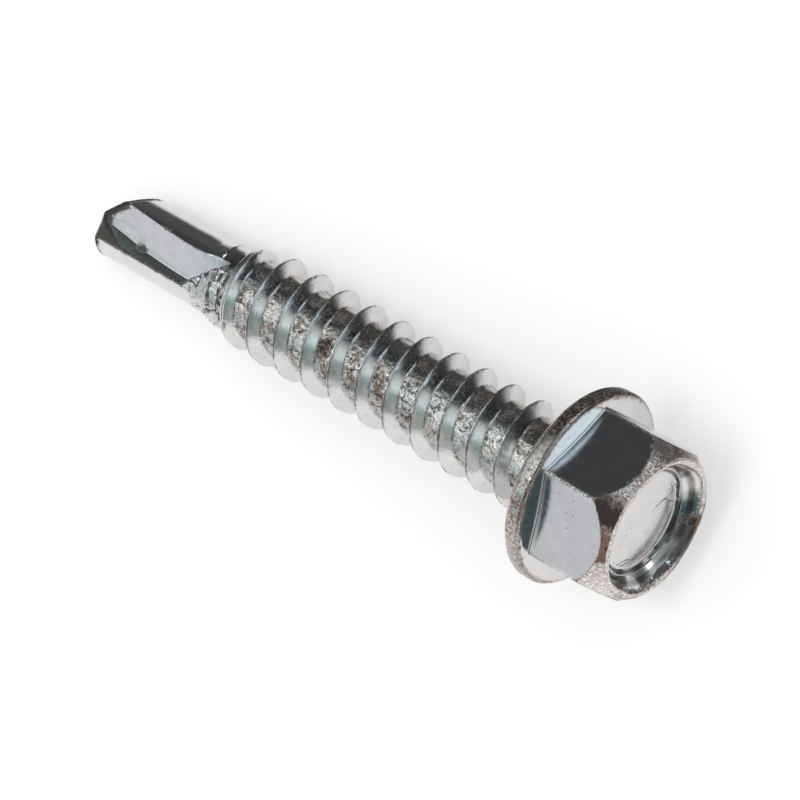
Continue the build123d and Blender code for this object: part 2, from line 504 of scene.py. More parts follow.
def add_drill(skin, thread, point):
    """The drill point up to where the thread's own lines start. Returns its last ring."""
    steps = (FLOOR_STEPS, FILLET_STEPS, WALL_STEPS, LAND_STEPS)
    zones = np.tile(np.repeat([FLUTE, FLUTE, RAKE, LAND], steps), 2)
    columns = len(zones)

    def outline_at(heights):
        rings = (drill_ring(thread, point, height)[0] for height in heights)
        return np.array([ring[column] for column, ring in enumerate(rings)])

    ends = np.full(columns, 1.0)
    for _ in range(END_ROUNDS):
        outline = outline_at(ends)
        ends = point_end(point, outline[:, 0], outline[:, 1])
    rows = []
    row_zones = []
    for part in np.linspace(0.0, 1.0, CAP_RINGS + 1)[1:]:
        flat = outline * part
        rows.append(np.column_stack([flat, point_end(point, flat[:, 0], flat[:, 1])]))
        row_zones.append(np.full(columns, POINT))
    for part in np.linspace(0.0, 1.0, POINT_RINGS)[1:]:
        heights = between(ends, POINT_TOP, part)
        rows.append(np.column_stack([outline_at(heights), heights]))
        row_zones.append(zones)
    top = point.point_length + THREAD_BOTTOM
    coarse = np.arange(POINT_TOP + COARSE_STEP, FINE_START, COARSE_STEP)
    for height in np.concatenate([coarse, np.arange(FINE_START, top, FINE_STEP), [top]]):
        flat, directions = drill_ring(thread, point, height)
        rows.append(np.column_stack([flat, np.full(columns, height)]))
        row_zones.append(zones)
    numbers = skin.add(np.array(rows) - (0.0, 0.0, point.point_length), np.array(row_zones))
    skin.bridge_rings(numbers)
    centre = skin.add([[0.0, 0.0, point_end(point, 0.0, 0.0) - point.point_length]], POINT)[0]
    skin.cap(numbers[0][::-1], centre)
    return numbers[-1], directions


# ---- Head ---------------------------------------------------------------------------------

FACE_STEPS = 26
CORNER_STEPS = 10
# rings of points, from the bearing face to the middle of the indentation
UNDERSIDE_RINGS = 8
FLANGE_RINGS = 9
FACE_PARTS = (*np.linspace(0.0, 0.985, 15), 1.0)  # shares of the way up the faces
CONE_PARTS = (0.03, 0.06, *np.linspace(0.15, 0.93, 8))  # and up the broken corners
RING_BENDS = np.linspace(25.0, 175.0, 8)  # angles over the ring, from its outside inwards
WALL_RINGS = 12
FLOOR_RINGS = 12
# fine shape of the head
LONGEST_ROUNDING = 0.49  # share of a side that a rounding may take, so that two never meet
SEAM_MIDDLE = 0.3  # share of the seam at which its fillet is in the middle
FACE_GAP = 0.012  # between the top of the faces and the broken corners
RING_DROP = 0.10  # the ring is rounded down to this far below its top
MOUTH_DROP = 0.16  # the wall starts this far below the ring's top
WALL_BEND = 0.75  # below 1 the wall is hollow
WALL_HOLLOW = 0.6  # share of that bend in the wall


def hexagon_outline(head):
    """Directions and radii around the hexagon, with its corners rounded."""
    sixth = FULL_TURN / 6
    half_sixth = math.radians(sixth / 2)
    centre_radius = (head.flat_radius - head.corner_fillet) / math.cos(half_sixth)
    half_face = (head.flat_radius - head.corner_fillet) * math.tan(half_sixth)
    points = []
    for corner in range(6):
        middle = head.corner_direction + sixth * corner
        centre = polar(centre_radius, middle)
        for part in np.linspace(-0.5, 0.5, CORNER_STEPS):
            points.append(centre + polar(head.corner_fillet, middle + sixth * part))
        out = polar(1.0, middle + sixth / 2)
        along = polar(1.0, middle + sixth / 2 + 90.0)
        for part in np.linspace(-1.0, 1.0, FACE_STEPS + 2)[1:-1]:
            points.append(out * head.flat_radius + along * half_face * part)
    points = np.array(points)
    return np.degrees(np.arctan2(points[:, 1], points[:, 0])), np.hypot(points[:, 0], points[:, 1])


def rounded(corners, steps=6):
    """Points along a profile of (radius, height, rounding), with its corners rounded."""
    points = [np.array(corners[0][:2])]
    for before, (radius, height, rounding), after in zip(corners[:-2], corners[1:-1], corners[2:]):
        vertex = np.array([radius, height])
        back = np.array(before[:2]) - vertex
        ahead = np.array(after[:2]) - vertex
        reach = min(rounding, LONGEST_ROUNDING * min(np.linalg.norm(back), np.linalg.norm(ahead)))
        start = vertex + back / np.linalg.norm(back) * reach
        end = vertex + ahead / np.linalg.norm(ahead) * reach
        for part in np.linspace(0.0, 1.0, steps):
            points.append(between(between(start, vertex, part), between(vertex, end, part), part))
    points.append(np.array(corners[-1][:2]))
    return points


def add_head(skin, thread, head):
    """Flange, hexagon, ring and indentation. Returns the first ring."""
    directions, hexagon = hexagon_outline(head)
    count = len(directions)
    rows = []

    def row(zone, radius, height):
        rows.append((zone, np.broadcast_to(radius, count), np.broadcast_to(height, count)))

    inner_radius = thread.major_radius + thread.neck_clearance
    bevel_radius = head.flange_radius - head.rim_bevel
    slope = head.flange_rise / (bevel_radius - head.flat_radius)
    rim = rounded([  # radius, height and rounding of its corners
        (inner_radius, 0.0, 0.0),
        (bevel_radius, 0.0, 0.10),
        (head.flange_radius, head.rim_bevel, 0.16),
        (head.flange_radius, head.rim_height - 0.6 * head.rim_bevel, 0.14),
        (head.flange_radius - 0.5 * head.rim_bevel, head.rim_height - 0.03, 0.10),
        (head.flat_radius, head.rim_height + head.flange_rise, 0.0),
    ])[1:-1]
    for radius in np.linspace(inner_radius, rim[0][0], UNDERSIDE_RINGS)[:-1]:
        row(UNDERSIDE, radius, 0.0)
    for radius, height in rim:
        row(RIM, radius, height)
    flange_start, flange_height = rim[-1]
    for part in np.linspace(0.0, 1.0, FLANGE_RINGS)[1:]:
        radius = between(flange_start, hexagon + head.seam, part)
        row(FLANGE, radius, flange_height + (flange_start - radius) * slope)
    foot = flange_height + (flange_start - hexagon) * slope
    row(FLANGE, hexagon + SEAM_MIDDLE * head.seam, foot + SEAM_MIDDLE * head.seam)

    steepness = math.tan(math.radians(head.forming_angle))
    broken = head.head_height - (hexagon - head.ring_radius) / steepness
    for part in FACE_PARTS:
        row(FACE, hexagon, between(foot + head.seam, broken - FACE_GAP, part))
    for part in CONE_PARTS:
        radius = between(hexagon, head.ring_radius, part)
        row(CORNER, radius, between(broken, head.head_height, part))

    mouth = head.mouth_radius + head.mouth_wave * cosine(6.0 * (directions - head.corner_direction))
    ring_middle = (head.ring_radius + mouth) / 2
    ring_half = (head.ring_radius - mouth) / 2
    for bend in RING_BENDS:
        height = head.head_height - RING_DROP * (1.0 - sine(bend))
        row(RING, ring_middle + ring_half * cosine(bend), height)
    ledge_height = head.head_height - head.ledge_depth
    floor_height = head.head_height - head.floor_depth
    for part in np.linspace(0.0, 1.0, WALL_RINGS)[1:]:
        height = between(head.head_height - MOUTH_DROP, ledge_height, part)
        hollow = between(part, part ** WALL_BEND, WALL_HOLLOW)
        row(WALL, between(mouth - 0.01, head.ledge_radius + 0.04, hollow), height)
    inner = rounded([  # radius, height and rounding of its corners
        (head.ledge_radius, ledge_height, 0.0),
        (head.ledge_radius - 0.05, ledge_height - 0.05, 0.03),
        (head.floor_radius + 0.02, floor_height + 0.05, 0.03),
        (head.floor_radius - 0.08, floor_height, 0.05),
        (0.0, floor_height, 0.0),
    ])[:-1]
    for radius, height in inner:
        row(LEDGE, radius, height)
    for part in np.linspace(1.0, 0.0, FLOOR_RINGS)[1:-1]:
        row(FLOOR, inner[-1][0] * part, floor_height)
    points = [np.column_stack([*polar(radius, directions), height]) for _, radius, height in rows]
    numbers = skin.add(points, np.array([zone for zone, _, _ in rows])[:, None])
    skin.bridge_rings(numbers)
    skin.cap(numbers[-1], skin.add([[0.0, 0.0, floor_height]], FLOOR)[0])
    return numbers[0], directions


# ---- Wear ---------------------------------------------------------------------------------

# distances from a crest, along the axis, between which the torn root and its rolled lines start
ROOT_EDGES = (0.36, 0.47)
ROLLED_EDGES = (0.50, 0.36)
CREST_REACH = 0.055
SHANK_GROWTH = 1.0  # the wear of the thread sets in over this length
# heights between which the neck, the drilled part and the smooth drill point start
NECK_EDGES = (-1.4, -1.1)
DRILLED_EDGES = (-21.1, -21.9)
SMOOTH_DRILL_EDGES = (-23.2, -23.6)
# heights between which the folds begin and end
FOLDS_FOOT = (-23.75, -23.35)
FOLDS_TOP = (-20.8, -21.6)
RUSTY_ROOTS = (-20.0, -6.5, 1.5)  # lower and upper height, softness
RIM_WALL = (0.18, 0.40)  # heights between which the rim's wall starts
BEND_REACH = 0.10  # half the height of the line where the faces bend into the cone
END_REACH = 0.28  # height of the grime above the ground end
WIDE_END = (0.55, 0.2)
# radii between the drill's flutes and its lands, and between the floor and its ledge
DRILL_OUTSIDE = (1.70, 1.88)
SMEAR_OUTSIDE = (1.55, 1.80)
LEDGE_EDGES = (2.55, 2.62)
TOP_LINE = (0.45, 0.22)  # distances from the rim between which the flange's brown line ends
RUST_PATCHES = (  # direction and height of the brown patches in the thread's roots
    (115.0, -17.9), (96.0, -16.5), (95.0, -14.5), (137.0, -14.2), (93.0, -12.8),
    (127.0, -12.5), (101.0, -11.0), (124.0, -10.7), (134.0, -8.9), (108.0, -14.8),
)
RUST_REACH = 0.62
RUST_SQUASH = 1.3
# spots on the drill point: radius, direction, height and reach
SMUDGE = (0.62, 108.0, -30.3, 0.42)
NIB = ((1.12, 126.0, -27.26, 0.19), (1.14, 127.0, -27.50, 0.15))
FOLDED_LIP = ((2.0, 10.0, -22.45, 0.30), (2.1, 38.0, -21.40, 0.26))
TIP_EDGE_REACH = 0.27
TIP_EDGE = (  # radius, direction and height along the grimy edge at the tip
    (0.64, 97.5, -30.45), (0.82, 87.0, -30.22), (0.98, 78.5, -30.00), (1.16, 73.5, -29.80),
    (1.34, 69.3, -29.59), (1.53, 66.0, -29.36), (1.72, 63.1, -29.13),
)
# sides of the screw: a middle direction and its reach
CALM_SIDE = (45.0, 33.0)
DARK_SIDE = (52.0, 22.0)
# sectors of the screw: first and last direction, and how softly they end
PAINTED_SHADE_FLANKS = (40.0, 73.0, 8.0)
FILMED_ROOTS = (128.0, 190.0, 14.0)
ROLLED_ROOTS = (15.0, 84.0, 10.0)
PATCHED_ROOTS = (45.0, 175.0, 10.0)
BRIGHT_CRESTS = (54.0, 100.0, 9.0)
FILMED_FOLDS = (50.0, 138.0, 12.0)
SHADED_RIM = (30.0, 86.0, 20.0)
RUSTY_RIM = (90.0, 150.0, 10.0)
FILMED_FACE = (95.0, 152.0, 2.0)
EVEN_CONE = (46.0, 78.0, 6.0)
BROWN_CONE = (95.0, 135.0, 7.0)
SPECKLED_RING = (178.0, 286.0, 10.0)
BLACK_WALL = (168.0, 288.0, 12.0)
BLACK_FOOT = (203.0, 228.0, 8.0)
THIN_FILM = (262.0, 296.0, 10.0)
FILMED_LEDGE = (175.0, 320.0, 15.0)
# directions between which the folds get sootier, and the brown cone darker
SOOTY_FOLDS = (172.0, 150.0)
DARKER_CONE = (135.0, 98.0)
# degrees from a flute's edge, from a corner of the hexagon and from one of its sooty corners
EDGE_REACH = 1.9
SMEAR_REACH = 7.0
UPRIGHT_REACH = 1.3
NEAR_CORNER = (15.0, 5.0)
MID_FACE = (12.0, 24.0)
SOOTY_REACH = 13.0
SPARED_REACH = 20.0
# the folds, on both sides of the screw, counted from their middle
FOLDS_MIDDLE = 125.0
FOLDED_SECTOR = (-52.0, 62.0, 8.0)
# films on the rim and on the ring: first and last direction, softness, strength
RIM_FILMS = ((84.0, 125.0, 10.0, 0.12), (134.0, 190.0, 10.0, 0.16), (150.0, 200.0, 10.0, 0.16))
RING_FILMS = ((252.0, 292.0, 12.0, 0.80), (180.0, 335.0, 12.0, 0.14))
# bands round the indentation's wall, grime in the ring and painted shade above it: lower and upper
# height, softness
WALL_RING = (4.78, 5.05, 0.06)
ABOVE_RING = (5.02, 5.35, 0.05)
WALL_FOOT = (4.40, 4.80, 0.05)
MOUTH_STAIN = (3.35, 293.0, 5.2, 0.50)  # radius, direction, height and reach
# the wall's streaks are drawn out round the axis by looking them up on a narrower, taller wall
WOUND_RADIUS = 1.1
WOUND_CLIMB = 1.5


def bell(gap, reach):
    """1 where the gap is 0, falling away over reach."""
    return np.exp(-(gap / reach) ** 2)


def mottled(mean, spread, lumps, most):
    """A strength that varies with the lumps, between 0 and most."""
    return np.clip(mean + spread * lumps, 0.0, most)


class Wear:
    """How deep, worn, warm, brown, black, rolled and filmed over the skin is at its points; the filmed
    and the black parts also carry painted shade.
    """

    def __init__(self, points, zones, thread, point, head):
        self.points = points
        self.zones = zones
        self.thread = thread
        self.point = point
        self.head = head
        self.radius = np.hypot(points[:, 0], points[:, 1])
        self.direction = np.degrees(np.arctan2(points[:, 1], points[:, 0])) % FULL_TURN
        self.height = points[:, 2]
        self.away = np.abs(ridge_distance(thread, self.direction, self.height))
        self.corner = np.abs(self.turn(head.corner_direction, 6))
        self.dirt = self.lumps(0.45, 151)
        labels = ("depth", "worn", "warm", "brown", "black", "film", "rolled")
        self.masks = {label: np.zeros(len(points)) for label in labels}
        self.wear_thread()
        self.crumple_drill()
        self.wear_drill()
        self.wear_tip()
        self.wear_rim()
        self.wear_hexagon()
        self.wear_cone()
        self.wear_ring()
        self.wear_recess()

    # places on the skin

    def zone(self, *zones):
        return np.isin(self.zones, zones).astype(float)

    def near(self, radius, direction, height, reach, squash=1.0):
        """1 at a point, falling away over reach, and sooner along the axis where squashed."""
        gap = (self.points - (*polar(radius, direction), height)) * (1.0, 1.0, squash) / reach
        return np.exp(-np.sum(gap ** 2, -1))

    def turn(self, middle, copies=1):
        """Signed angle from a direction, or from the nearest of its evenly spaced copies."""
        return turn_from(self.direction * copies, middle * copies) / copies

    def sector(self, first, last, soft):
        return window(first, last, self.direction, soft)

    def about(self, middle, reach):
        """1 in the middle direction, falling away on both sides."""
        return bell(self.turn(middle), reach)

    def band(self, lower, upper, soft):
        return window(lower, upper, self.height, soft)

    # patterns

    def lumps(self, size, seed, layers=3):
        """Noise over the skin whose largest lumps are about as large as size."""
        return layered_grain(self.points, size, seed, layers)

    def spots(self, size, seed, low, high):
        """1 where plain grain is above high, 0 where it is below low."""
        return smoothstep(low, high, grain(self.points, size, seed))

    def lay(self, where, **amounts):
        """Adds an amount, within where, to each of the masks that are named."""
        for label, amount in amounts.items():
            self.masks[label] += where * amount

    # thread

    def wear_thread(self):
        """Torn and rusty roots, nicked crests, and painted shade on the flanks of one side."""
        start = self.thread.lead_in_start
        drilled = self.zone(LAND, FLUTE, RAKE)
        shank = smoothstep(start, start + SHANK_GROWTH, self.height)
        shank *= drilled + self.zone(THREAD)
        root = shank * smoothstep(*ROOT_EDGES, self.away)
        root = np.maximum(root, self.zone(THREAD) * smoothstep(*NECK_EDGES, self.height))
        root *= 1.0 - drilled * smoothstep(*DRILLED_EDGES, self.height)
        self.tear_roots(root)
        self.rust_roots(root)
        self.nick_crests(shank * bell(self.away, CREST_REACH))
        flank = shank - root
        self.lay(flank, depth=0.006 * self.lumps(0.5, 37))
        # painted shade on the flanks of one side: darker plating and mottled black
        upper = flank * self.sector(*PAINTED_SHADE_FLANKS)
        self.lay(upper, film=0.60, black=mottled(0.06, 0.55, self.lumps(0.30, 49), 0.6))
        rolled = self.zone(THREAD) * smoothstep(*ROLLED_EDGES, self.away)
        self.lay(rolled, rolled=0.25 + 0.75 * self.sector(*ROLLED_ROOTS))

    def tear_roots(self, root):
        """Lumps, pits and tears, blackened in their hollows, with one calm side over which shade is
        painted.
        """
        middle, reach = CALM_SIDE
        calm = np.exp(-(self.turn(middle) / reach) ** 4)
        rough = root * (1.0 - 0.94 * calm)
        lumps = self.lumps(0.36, 11)
        pits = self.spots(0.19, 23, 0.35, 0.8)
        tears = creases(self.points * (1.0, 1.0, 0.7), 0.45, 29)
        self.lay(0.3 * root + 0.7 * rough, depth=0.036 * lumps - 0.040 * pits - 0.030 * tears ** 2)
        self.lay(rough, worn=0.75 + 0.25 * lumps, film=0.20 * self.sector(*FILMED_ROOTS))
        self.lay(rough * smoothstep(0.1, 0.7, tears + pits), black=0.52 + 0.25 * lumps)
        # painted shade over the roots of one side: darker plating on the calm side, and black around
        # the dark side
        self.lay(root, film=0.35 * calm, warm=smoothstep(-0.4, 0.4, self.lumps(0.8, 47)))
        dark = 0.30 + 0.25 * grain(self.points, 0.5, 59)
        self.lay(root * self.about(*DARK_SIDE), black=dark)

    def rust_roots(self, root):
        """Rust in the patches of one side, and loose spots of the same kind on the others."""
        patches = sum(
            self.near(self.thread.root_radius, *patch, RUST_REACH, RUST_SQUASH)
            for patch in RUST_PATCHES
        )
        hidden = 1.0 - self.sector(*PATCHED_ROOTS)
        loose = smoothstep(0.15, 0.60, self.lumps(0.9, 53))
        loose *= self.band(*RUSTY_ROOTS) * (0.25 + 0.75 * hidden)
        self.lay(root, brown=np.clip(0.60 * patches + 0.56 * loose, 0.0, 0.66))

    def nick_crests(self, crest):
        """Nicks along the crest, and black along it except in one sector, where it stays bright."""
        nicks = self.spots(0.26, 41, 0.35, 0.85)
        waves = grain(self.points, 0.22, 43)
        bright = self.sector(*BRIGHT_CRESTS) * self.spots(0.2, 62, -0.4, 0.2)
        self.lay(crest, depth=0.010 * waves - 0.010 - 0.055 * nicks, worn=0.35)
        self.lay(crest * (1.0 - 0.8 * bright), black=0.62 + 0.40 * grain(self.points, 0.3, 61))

    # drill point

    def crumple_drill(self):
        """Folds pushed up where the drill point was pinched against the thread, and a painted shadow
        line where the flutes end.
        """
        rise = FLUTE_END_SLOPES[0] * self.points[:, 0] + FLUTE_END_SLOPES[1] * self.points[:, 1]
        first_half = self.direction < HALF_TURN
        past_end = self.height - self.point.end_height + self.point.point_length
        past_end = past_end - np.where(first_half, rise, -rise)
        first, last, soft = FOLDED_SECTOR
        facing = window(first, last, self.turn(FOLDS_MIDDLE, 2), soft)
        # a painted shadow line along the flutes' end
        self.lay(facing * self.zone(FLUTE, RAKE), black=0.7 * bell(past_end - 0.05, 0.13))

        outside = smoothstep(*DRILL_OUTSIDE, self.radius)
        crumple = facing * np.maximum(smoothstep(-0.05, 0.15, past_end), outside)
        crumple *= smoothstep(*FOLDS_FOOT, self.height) * smoothstep(*FOLDS_TOP, self.height)
        crumple *= self.zone(LAND, FLUTE, RAKE, THREAD)
        stretched = self.points * (0.75, 0.75, 1.5)
        folds = creases(stretched, 0.50, 71)
        fine = creases(stretched + 0.15 * grain(self.points, 0.4, 75)[:, None], 0.27, 73)
        lumps = layered_grain(stretched, 0.42, 79)
        self.lay(crumple, depth=0.055 * lumps - 0.09 * folds ** 2 - 0.045 * fine ** 2 + 0.01)
        self.lay(crumple, worn=0.30, film=0.24 * self.sector(*FILMED_FOLDS))
        sooty = crumple * (0.35 + 0.65 * smoothstep(*SOOTY_FOLDS, self.direction))
        self.lay(sooty, black=0.85 * smoothstep(0.50, 0.90, folds))
        self.lay(sooty, black=0.65 * smoothstep(0.60, 1.0, fine))

    def wear_drill(self):
        """Smooth lands and flutes, with chips and grime along the lips and the heels."""
        drill = self.zone(LAND, FLUTE, RAKE) * smoothstep(*SMOOTH_DRILL_EDGES, self.height)
        self.lay(drill, depth=-0.004 * (1.0 + self.lumps(0.9, 83)))
        heights, _, edges = np.transpose(FLUTE_STATIONS)
        heel = np.interp(self.height + self.point.point_length, heights, edges)
        chips = self.spots(0.32, 89, 0.35, 0.8)
        grime = smoothstep(0.15, 0.6, self.lumps(0.22, 91))
        for edge, strength in ((self.point.lip_direction, 1.0), (heel, 0.7)):
            gap = self.turn(edge, 2)
            line = strength * drill * smoothstep(*DRILL_OUTSIDE, self.radius) * bell(gap, EDGE_REACH)
            self.lay(line, depth=-0.045 * strength ** 3 * chips, brown=0.40 + 0.4 * chips)
            self.lay(line, black=0.45 + 0.3 * grain(self.points, 0.22, 93))
            smear = strength * drill * smoothstep(*SMEAR_OUTSIDE, self.radius) * bell(gap, SMEAR_REACH)
            self.lay(smear, black=0.9 * grime)

    def wear_tip(self):
        """Burrs, rust and black dirt at the ground end, a nib in the flute and a lip folded over."""
        flute = self.zone(FLUTE)
        ground = self.zone(POINT)
        burr = self.lumps(0.30, 95)
        sunk = -np.abs(burr)
        ground_end = point_end(self.point, self.points[:, 0], self.points[:, 1])
        above_end = self.height + self.point.point_length - ground_end
        end = bell(above_end, END_REACH) * (self.zone(FLUTE, LAND) + 0.5 * ground)
        self.lay(end, black=mottled(0.70, 0.5, burr, 1.0), brown=mottled(0.80, 0.5, burr, 1.2))
        self.lay(flute * self.near(*SMUDGE), black=0.85 + 0.6 * burr, depth=0.03 * sunk)
        grime = flute * np.max([self.near(*spot, TIP_EDGE_REACH) for spot in TIP_EDGE], axis=0)
        self.lay(grime, black=mottled(0.95, 0.7, burr, 1.3), brown=0.5, depth=0.03 * sunk)
        wide_end = flute * smoothstep(*WIDE_END, above_end)
        self.lay(wide_end, black=0.5 * self.spots(0.24, 96, 0.2, 0.6), depth=0.04 * sunk)
        self.lay(ground, worn=0.5, warm=0.6, depth=-0.0125 * (1.0 + self.lumps(0.25, 97)))
        self.lay(ground, black=0.5 * smoothstep(0.2, 0.7, creases(self.points, 0.3, 101)))
        nib = np.max([self.near(*spot) for spot in NIB], axis=0)
        self.lay(nib, depth=0.16, black=2.2)
        fold = sum(self.near(*spot) for spot in FOLDED_LIP)
        self.lay(fold, depth=0.06 * self.spots(0.3, 103, -0.6, 0.5))
        self.lay(fold, black=0.35 * self.spots(0.22, 107, 0.2, 0.7))

    # head

    def wear_rim(self):
        """A rusty, pitted rim, smoother on one side and with painted shade there, and a brown line on
        top of it.
        """
        rim = self.zone(RIM)
        shaded = rim * self.sector(*SHADED_RIM) * smoothstep(*RIM_WALL, self.height)
        blotches = self.lumps(0.45, 127)
        self.lay(rim - 0.7 * shaded, depth=-0.016 * (1.0 + self.lumps(0.35, 109)))
        self.lay(rim, depth=-0.03 * self.spots(0.5, 113, 0.6, 0.95), worn=0.16, warm=1.0, film=0.30)
        self.lay(rim, brown=mottled(0.27, 0.26, blotches * (1.0 - 0.75 * shaded), 0.6))
        self.lay(rim, brown=0.13 * self.sector(*RUSTY_RIM))
        self.lay(rim, black=mottled(0.04, 0.22, self.lumps(0.3, 131), 0.5))
        # painted shade on the rim's wall on the side turned from the light: darker plating, a little
        # brown and black
        self.lay(shaded, worn=-0.12, film=0.34, brown=0.06, black=0.10)
        for *reach, strength in RIM_FILMS:
            self.lay(rim * self.sector(*reach), film=strength)
        top_line = smoothstep(*TOP_LINE, self.head.flange_radius - self.radius)
        self.lay(self.zone(FLANGE) * top_line, brown=0.30 + 0.3 * blotches)
        self.lay(self.zone(FLANGE) * top_line, black=0.16 + 0.4 * self.lumps(0.2, 133))

    def wear_hexagon(self):
        """Rubbed, dirty upright edges and a brown line under the broken corners."""
        head = self.head
        face = self.zone(FACE)
        cone = self.zone(CORNER)
        self.lay(face * self.sector(*FILMED_FACE), film=0.09)
        edge = face * bell(self.corner, UPRIGHT_REACH)
        self.lay(edge, depth=-0.025 * self.spots(0.4, 149, 0.0, 0.8), worn=0.7)
        self.lay(edge, brown=mottled(0.46, 0.35, self.dirt, 0.8))
        self.lay(edge, black=mottled(0.25, 0.35, grain(self.points, 0.3, 150), 0.6))
        steepness = math.tan(math.radians(head.forming_angle))
        bend = head.head_height - (self.radius - head.ring_radius) / steepness
        mid_face = smoothstep(*MID_FACE, self.corner)
        bend_line = (face + cone * mid_face) * bell(self.height - bend, BEND_REACH)
        self.lay(bend_line, brown=0.42 + 0.3 * self.dirt)
        plain = self.zone(FACE, FLANGE, FLOOR, WALL, LEDGE)
        self.lay(plain, depth=0.0022 * self.lumps(1.3, 157, 2))

    def wear_cone(self):
        """Broken corners: two black, the others brown, and a brown band beside one face."""
        cone = self.zone(CORNER)
        first = self.head.corner_direction
        sooty = self.about(first, SOOTY_REACH) + self.about(first + 60.0, SOOTY_REACH)
        even = np.maximum(sooty, 0.6 * self.sector(*EVEN_CONE))
        self.lay(cone, worn=0.7 * (1.0 - 0.85 * np.clip(even, 0.0, 1.0)), warm=0.8)
        near_corner = cone * smoothstep(*NEAR_CORNER, self.corner)
        self.lay(near_corner, black=np.clip(sooty * (0.85 + 0.3 * self.dirt), 0.0, 1.0))
        spared = 0.85 * self.about(first, SPARED_REACH)
        spared += 0.50 * self.about(first + 120.0, SPARED_REACH)
        self.lay(near_corner * (1.0 - spared), brown=0.42 + 0.4 * self.dirt)
        beside_face = cone * self.sector(*BROWN_CONE)
        fine = self.lumps(0.17, 153)
        self.lay(beside_face, depth=-0.014 * (1.0 + fine), black=0.7 * smoothstep(0.1, 0.6, fine))
        self.lay(beside_face, brown=np.clip(0.62 + 0.35 * self.dirt + 0.45 * fine, 0.0, 1.0))
        darker = smoothstep(*DARKER_CONE, self.direction)
        self.lay(beside_face * darker, black=0.35 + 0.4 * self.dirt)

    def wear_ring(self):
        """A worn, warm, speckled ring, filmed over on its lower side, and a stain at the mouth."""
        ring = self.zone(RING)
        self.lay(ring + self.zone(CORNER), depth=-0.016 * (1.0 + self.lumps(0.28, 137)))
        self.lay(ring, worn=0.6, warm=1.0, brown=mottled(0.12, 0.5, self.lumps(0.3, 139), 0.7))
        self.lay(ring, black=mottled(0.04, 0.45, self.lumps(0.22, 141), 0.6))
        for *reach, strength in RING_FILMS:
            self.lay(ring * self.sector(*reach), film=strength)
        specks = smoothstep(0.0, 0.6, self.lumps(0.26, 167))
        self.lay(ring * self.sector(*SPECKLED_RING), black=0.6 * specks)
        stain = self.zone(WALL, RING) * self.near(*MOUTH_STAIN)
        self.lay(stain, brown=0.70 + 0.4 * self.dirt, black=0.45)

    def wear_recess(self):
        """Grime round the wall: a ring at mid height, painted shade above it on one side, and black
        below it in places.
        """
        wall = self.zone(WALL)
        wound = np.stack([*polar(WOUND_RADIUS, self.direction), WOUND_CLIMB * self.height], 1)
        streaks = smoothstep(-0.30, 0.25, layered_grain(wound, 0.36, 163, 2))
        below = self.sector(*THIN_FILM)
        ring_film = (0.90 - 0.5 * below) * (0.7 + 0.3 * streaks)
        self.lay(wall * self.band(*WALL_RING), film=ring_film)
        # painted shade high on one side of the wall, and on the ring beside it
        above = self.band(*ABOVE_RING) * self.sector(*BLACK_WALL)
        self.lay((wall + 0.5 * self.zone(RING)) * above, black=0.35 + 0.65 * streaks)
        foot = self.band(*WALL_FOOT) * (self.sector(*BLACK_FOOT) + below)
        self.lay(wall * foot, black=0.35 + 0.55 * streaks)
        ledge = self.zone(LEDGE) * smoothstep(*LEDGE_EDGES, self.radius)
        self.lay(ledge, film=0.30 + 0.35 * self.sector(*FILMED_LEDGE))
        self.lay(ledge, black=0.7 * smoothstep(0.0, 0.5, layered_grain(wound, 0.30, 173, 2)))


# ---- Placing ------------------------------------------------------------------------------

SAME_POINT = 0.001  # points closer than this are one
SHORTEST_EDGE = 0.0001
SHARP_ANGLE = 38.0  # between faces whose edge stays sharp


def lying_matrix(resting_direction):
    """From the upright screw in millimetres to the lying one in metres."""
    mounts = {mount["name"]: mount for mount in frame["record"]["mounts"]}
    bearing = mounts["bearing_face"]
    axis = -Vector(bearing["axis"]).normalized()
    down = (Vector((0.0, 0.0, -1.0)) + axis * axis.z).normalized()
    side = axis.cross(down)
    turn = math.radians(resting_direction)
    zero = down * math.cos(turn) - side * math.sin(turn)
    matrix = Matrix((zero, axis.cross(zero), axis)).transposed().to_4x4() @ Matrix.Scale(MM, 4)
    matrix.translation = Vector(bearing["pos_m"])
    return matrix


def settings(context):
    """The settings as plain numbers, group by group."""
    scene = context.scene
    groups = ("thread", "head", "point", "studio")
    return [measures(getattr(scene, f"screw_{group}")) for group in groups]


def clean_mesh(name, points, faces, attributes):
    """A mesh without doubled points, with its attributes kept."""
    mesh = bpy.data.meshes.new(name)
    mesh.from_pydata(points.tolist(), [], faces)
    for label, values in attributes.items():
        kind, key = ("FLOAT_VECTOR", "vector") if values.ndim == 2 else ("FLOAT", "value")
        attribute = mesh.attributes.new(label, kind, "POINT")
        attribute.data.foreach_set(key, values.astype(np.float32).ravel())
    work = bmesh.new()
    work.from_mesh(mesh)
    bmesh.ops.remove_doubles(work, verts=work.verts, dist=SAME_POINT * MM)
    bmesh.ops.dissolve_degenerate(work, edges=work.edges, dist=SHORTEST_EDGE * MM)
    bmesh.ops.recalc_face_normals(work, faces=work.faces)
    open_edges = sum(1 for edge in work.edges if len(edge.link_faces) != 2)
    work.to_mesh(mesh)
    work.free()
    if open_edges:
        raise RuntimeError(f"{name} has {open_edges} open edges")
    mesh.shade_smooth()
    return mesh


def displace(mesh):
    """Moves each point out along its normal by its own depth."""
    count = len(mesh.vertices)
    depth = np.zeros(count, np.float32)
    mesh.attributes["depth"].data.foreach_get("value", depth)
    mesh.attributes.remove(mesh.attributes["depth"])
    normals = np.zeros(count * 3, np.float32)
    mesh.vertex_normals.foreach_get("vector", normals)
    places = np.zeros(count * 3, np.float32)
    mesh.vertices.foreach_get("co", places)
    mesh.vertices.foreach_set("co", places + normals * np.repeat(depth, 3) * MM)
    mesh.update()


